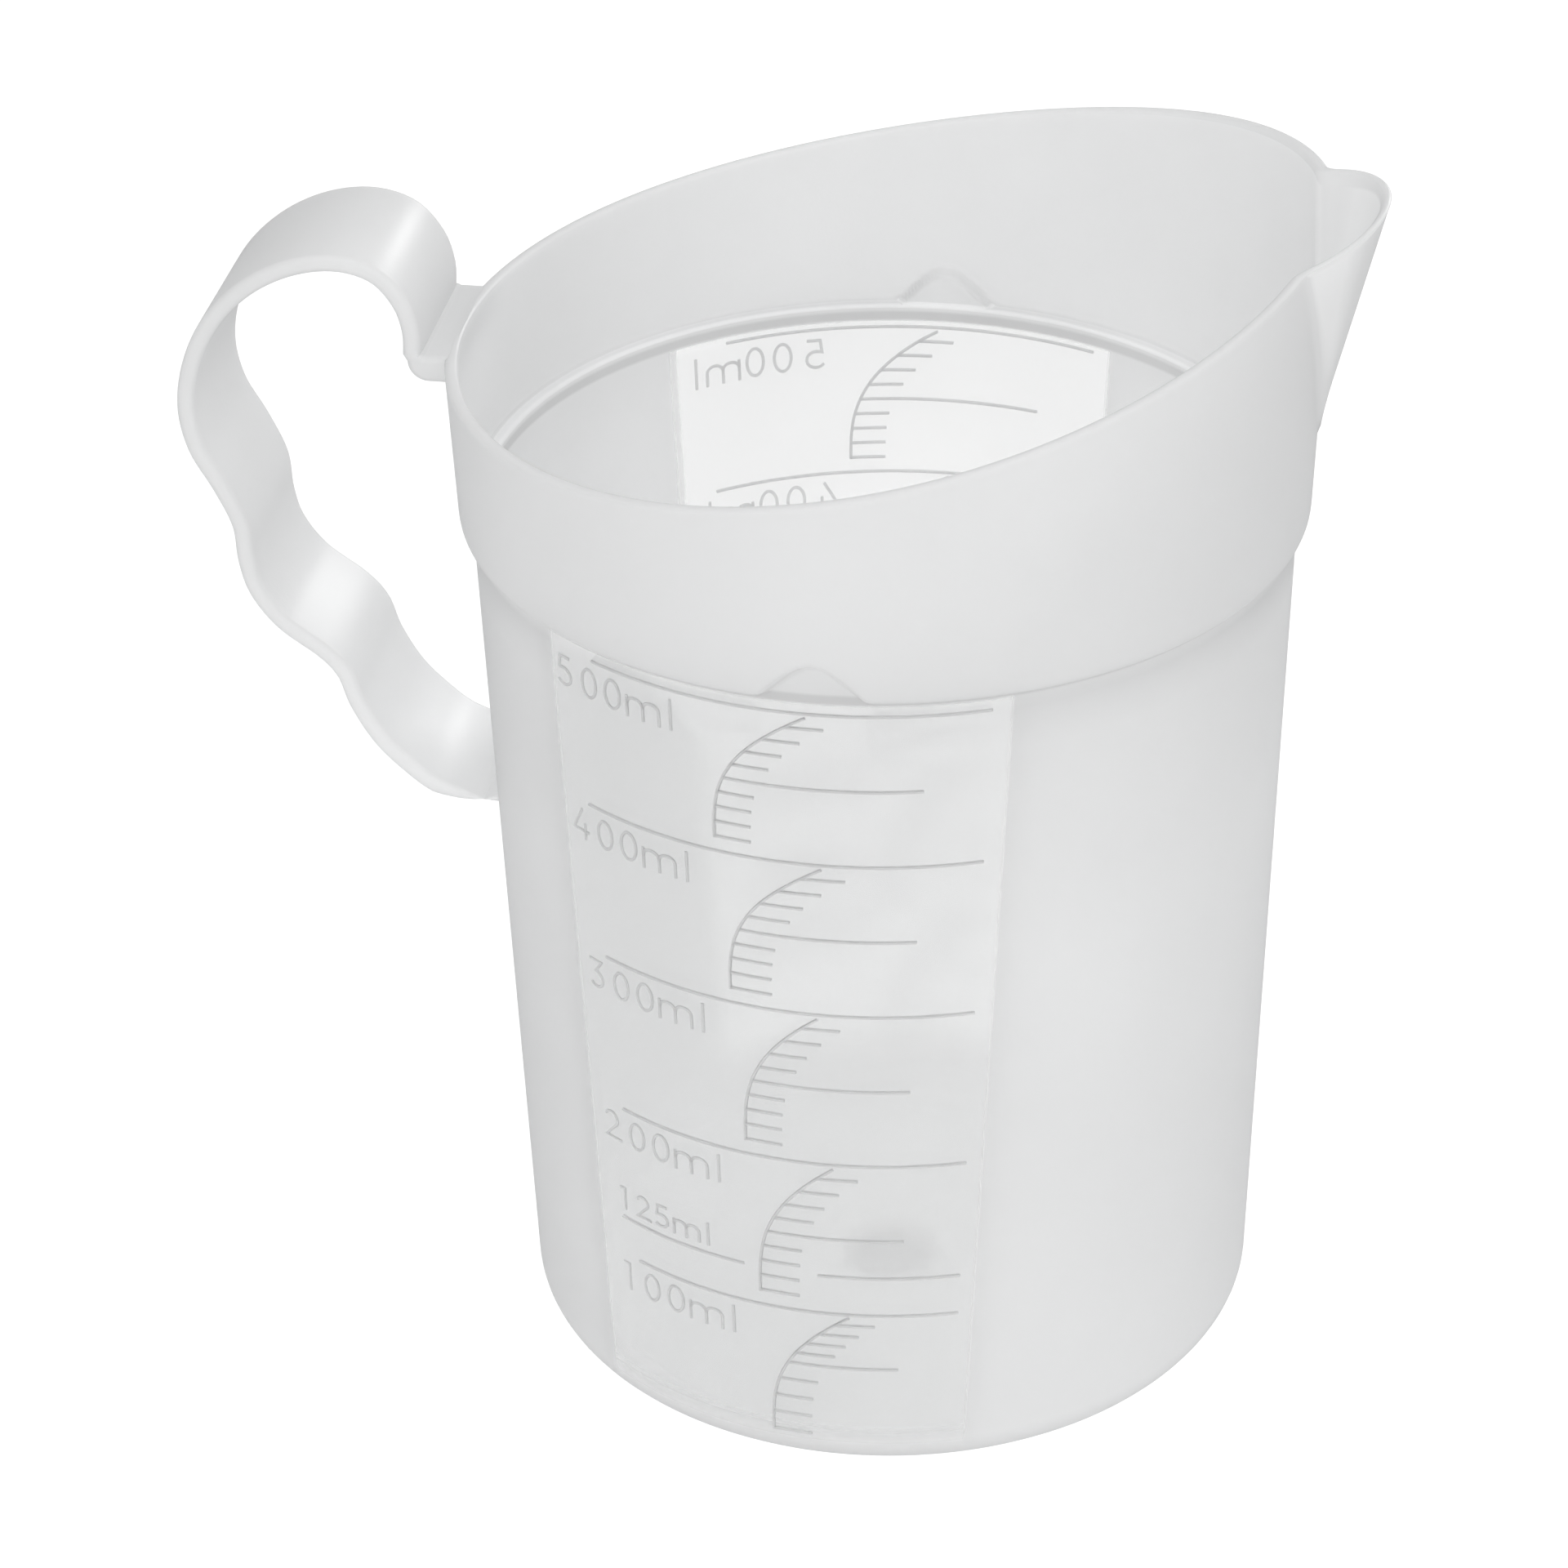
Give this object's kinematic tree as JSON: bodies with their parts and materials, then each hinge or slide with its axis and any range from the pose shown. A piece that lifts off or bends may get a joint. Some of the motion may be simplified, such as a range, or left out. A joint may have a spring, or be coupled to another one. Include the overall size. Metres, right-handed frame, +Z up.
{
  "type": "measuring beaker",
  "caption": "Translucent tapered plastic measuring beaker with a stepped collar, slanted rim, pouring spout, wavy strap handle and raised volume scales.",
  "frame": {"origin": "on the cup's axis, at the plane that the cup stands on", "axes": "+Z up along the cup's axis, +X towards the pouring spout, -X towards the handle; the XZ plane is the plane of symmetry"},
  "size_m": [0.1269, 0.0922, 0.1372],
  "materials": {
    "frosted_polypropylene": "translucent natural polypropylene, fine satin mould texture",
    "polished_polypropylene": "translucent natural polypropylene, polished mould surface"
  },
  "bodies": {
    "root": {"cup_base": "frosted_polypropylene", "cup_wall": "frosted_polypropylene", "gate_lens": "polished_polypropylene", "collar": "frosted_polypropylene", "spout": "frosted_polypropylene", "handle_bridge": "frosted_polypropylene", "handle_strap": "frosted_polypropylene", "handle_foot": "frosted_polypropylene", "stacking_stop_left": "frosted_polypropylene", "stacking_stop_right": "frosted_polypropylene", "right_line_1_fifths": "polished_polypropylene", "right_ticks_below_1_fifths": "polished_polypropylene", "right_line_2_fifths": "polished_polypropylene", "right_ticks_below_2_fifths": "polished_polypropylene", "right_line_3_fifths": "polished_polypropylene", "right_ticks_below_3_fifths": "polished_polypropylene", "right_line_4_fifths": "polished_polypropylene", "right_ticks_below_4_fifths": "polished_polypropylene", "right_line_5_fifths": "polished_polypropylene", "right_ticks_below_5_fifths": "polished_polypropylene", "right_line_quarter_handle_part": "polished_polypropylene", "right_line_quarter_spout_part": "polished_polypropylene", "left_line_1_fifths": "polished_polypropylene", "left_ticks_below_1_fifths": "polished_polypropylene", "left_line_2_fifths": "polished_polypropylene", "left_ticks_below_2_fifths": "polished_polypropylene", "left_line_3_fifths": "polished_polypropylene", "left_ticks_below_3_fifths": "polished_polypropylene", "left_line_4_fifths": "polished_polypropylene", "left_ticks_below_4_fifths": "polished_polypropylene", "left_line_5_fifths": "polished_polypropylene", "left_ticks_below_5_fifths": "polished_polypropylene", "left_line_quarter_handle_part": "polished_polypropylene", "left_line_quarter_spout_part": "polished_polypropylene"}
  },
  "joints": []
}
